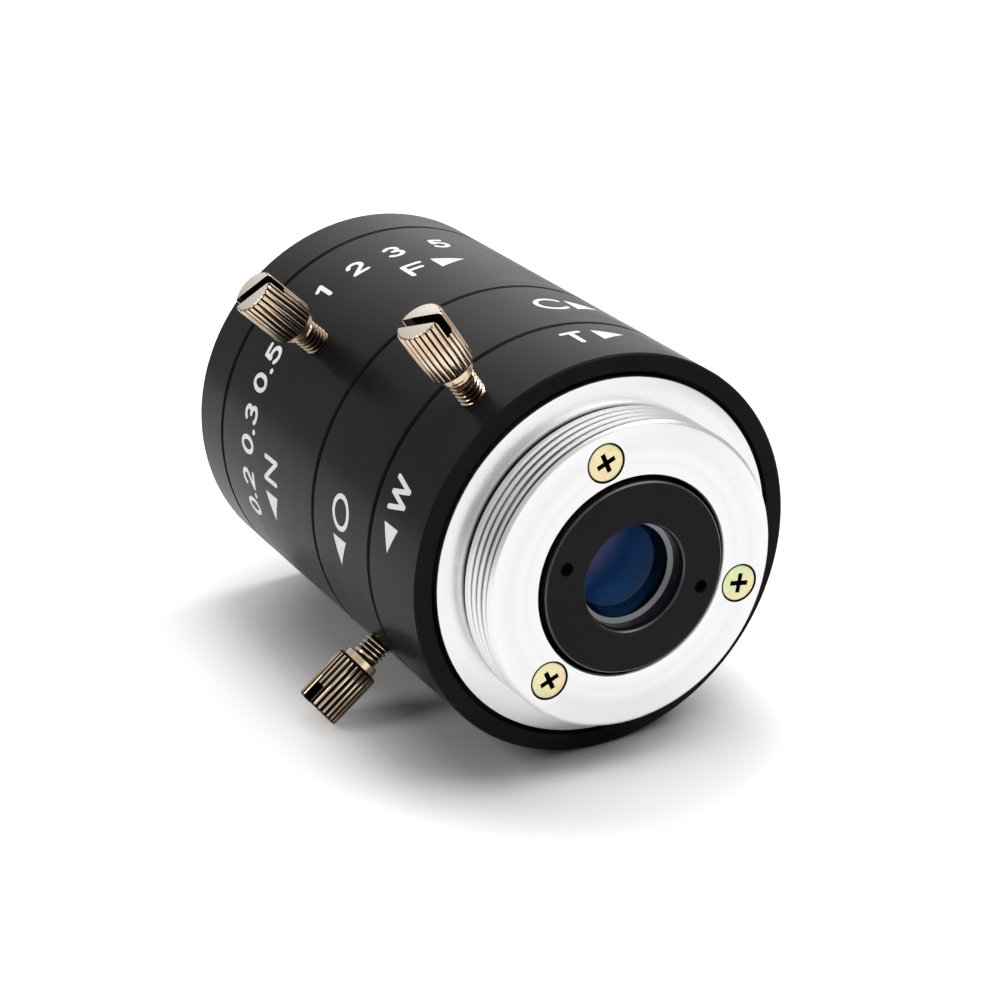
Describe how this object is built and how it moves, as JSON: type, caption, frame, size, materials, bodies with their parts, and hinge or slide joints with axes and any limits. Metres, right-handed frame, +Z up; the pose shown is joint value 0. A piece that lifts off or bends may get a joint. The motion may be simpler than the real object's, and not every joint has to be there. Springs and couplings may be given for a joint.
{
  "type": "c-mount varifocal lens",
  "caption": "Cylindrical manual zoom lens for machine vision: smooth focus, iris and zoom rings with knurled lock screws, and a screw-in C-mount at the rear.",
  "frame": {"origin": "centre of the mount flange's rear face, on the optical axis", "axes": "+X along the optical axis towards the camera, +Z up as the lens lies on its barrel and its lowest lock screw"},
  "size_m": [0.0469, 0.0368, 0.0383],
  "materials": {
    "satin_black_anodised": "satin black anodised",
    "matt_black_anodised": "matt black anodised",
    "bright_aluminium": "bright turned",
    "yellow_zinc_steel": "yellow zinc plated",
    "bronzed_nickel": "warm nickel plate over brass",
    "coated_glass": "polished with a blue coating",
    "blackened_steel": "blackened",
    "plain_brass": "turned",
    "pin_steel": "ground"
  },
  "bodies": {
    "fixed_barrel": {"main_barrel": "matt_black_anodised", "front_bezel": "satin_black_anodised", "c_mount_adapter": "bright_aluminium", "mount_screws": "yellow_zinc_steel", "iris_housing": "matt_black_anodised", "iris_cover": "matt_black_anodised"},
    "focus_ring": {"focus_ring": "satin_black_anodised"},
    "focus_lock_screw": {"focus_lock_screw": "bronzed_nickel"},
    "front_group": {"front_cell": "matt_black_anodised", "front_lock_ring": "matt_black_anodised", "front_lens": "coated_glass", "second_lens": "coated_glass", "inner_spacer": "matt_black_anodised", "third_lens": "coated_glass", "inner_lock_ring": "matt_black_anodised", "focus_follower_pin": "pin_steel"},
    "iris_ring": {"iris_ring": "satin_black_anodised", "iris_drive_pin": "pin_steel", "iris_drive_ring": "plain_brass"},
    "iris_lock_screw": {"iris_lock_screw": "bronzed_nickel"},
    "zoom_ring": {"zoom_ring": "satin_black_anodised"},
    "zoom_lock_screw": {"zoom_lock_screw": "bronzed_nickel"},
    "rear_group": {"rear_cell": "matt_black_anodised", "rear_group_lock_ring": "matt_black_anodised", "fourth_lens": "coated_glass", "doublet_front_lens": "coated_glass", "doublet_rear_lens": "coated_glass", "rear_spacer": "matt_black_anodised", "rear_lens": "coated_glass", "rear_retaining_ring": "matt_black_anodised", "zoom_follower_pin": "pin_steel"},
    "iris_blade_1": {"iris_blade_1": "blackened_steel"},
    "iris_blade_2": {"iris_blade_2": "blackened_steel"},
    "iris_blade_3": {"iris_blade_3": "blackened_steel"},
    "iris_blade_4": {"iris_blade_4": "blackened_steel"},
    "iris_blade_5": {"iris_blade_5": "blackened_steel"},
    "iris_blade_6": {"iris_blade_6": "blackened_steel"}
  },
  "joints": [
    {"name": "focus_turn", "type": "hinge", "parent": "fixed_barrel", "child": "focus_ring", "pos_m": [-0.02797, 0, 0], "axis": [1, 0, 0], "range_deg": [-45, 45]},
    {"name": "focus_shift", "type": "slide", "parent": "fixed_barrel", "child": "front_group", "axis": [1, 0, 0], "range_m": [-0.0015, 0.0015]},
    {"name": "focus_lock_turn", "type": "hinge", "parent": "focus_ring", "child": "focus_lock_screw", "pos_m": [-0.0269, -0.01416, 0.01348], "axis": [0, -0.7242, 0.6896], "range_deg": [-360, 360]},
    {"name": "iris_turn", "type": "hinge", "parent": "fixed_barrel", "child": "iris_ring", "pos_m": [-0.01333, 0, 0], "axis": [1, 0, 0], "range_deg": [-28, 28]},
    {"name": "iris_lock_turn", "type": "hinge", "parent": "iris_ring", "child": "iris_lock_screw", "pos_m": [-0.014, -0.01504, -0.01201], "axis": [0, -0.7815, -0.6239], "range_deg": [-360, 360]},
    {"name": "zoom_turn", "type": "hinge", "parent": "fixed_barrel", "child": "zoom_ring", "pos_m": [-0.00405, 0, 0], "axis": [1, 0, 0], "range_deg": [-35, 35]},
    {"name": "zoom_shift", "type": "slide", "parent": "fixed_barrel", "child": "rear_group", "axis": [1, 0, 0], "range_m": [-0.0012, 0.0012]},
    {"name": "zoom_lock_turn", "type": "hinge", "parent": "zoom_ring", "child": "zoom_lock_screw", "pos_m": [-0.0045, -0.0111, 0.0164], "axis": [0, -0.5606, 0.8281], "range_deg": [-360, 360]},
    {"name": "iris_blade_1_swing", "type": "hinge", "parent": "fixed_barrel", "child": "iris_blade_1", "pos_m": [-0.01815, 0.0097, 0], "axis": [1, 0, 0], "range_deg": [-14.01, 14.01]},
    {"name": "iris_blade_2_swing", "type": "hinge", "parent": "fixed_barrel", "child": "iris_blade_2", "pos_m": [-0.01815, 0.00485, 0.0084], "axis": [1, 0, 0], "range_deg": [-14.01, 14.01]},
    {"name": "iris_blade_3_swing", "type": "hinge", "parent": "fixed_barrel", "child": "iris_blade_3", "pos_m": [-0.01815, -0.00485, 0.0084], "axis": [1, 0, 0], "range_deg": [-14.01, 14.01]},
    {"name": "iris_blade_4_swing", "type": "hinge", "parent": "fixed_barrel", "child": "iris_blade_4", "pos_m": [-0.01815, -0.0097, 0], "axis": [1, 0, 0], "range_deg": [-14.01, 14.01]},
    {"name": "iris_blade_5_swing", "type": "hinge", "parent": "fixed_barrel", "child": "iris_blade_5", "pos_m": [-0.01815, -0.00485, -0.0084], "axis": [1, 0, 0], "range_deg": [-14.01, 14.01]},
    {"name": "iris_blade_6_swing", "type": "hinge", "parent": "fixed_barrel", "child": "iris_blade_6", "pos_m": [-0.01815, 0.00485, -0.0084], "axis": [1, 0, 0], "range_deg": [-14.01, 14.01]}
  ],
  "couplings": [
    {"joint": "focus_shift", "follows": "focus_turn", "m_per_rad": 0.0019099},
    {"joint": "zoom_shift", "follows": "zoom_turn", "m_per_rad": 0.0019644},
    {"joint": "iris_blade_1_swing", "follows": "iris_turn", "ratio": 0.5},
    {"joint": "iris_blade_2_swing", "follows": "iris_turn", "ratio": 0.5},
    {"joint": "iris_blade_3_swing", "follows": "iris_turn", "ratio": 0.5},
    {"joint": "iris_blade_4_swing", "follows": "iris_turn", "ratio": 0.5},
    {"joint": "iris_blade_5_swing", "follows": "iris_turn", "ratio": 0.5},
    {"joint": "iris_blade_6_swing", "follows": "iris_turn", "ratio": 0.5}
  ]
}
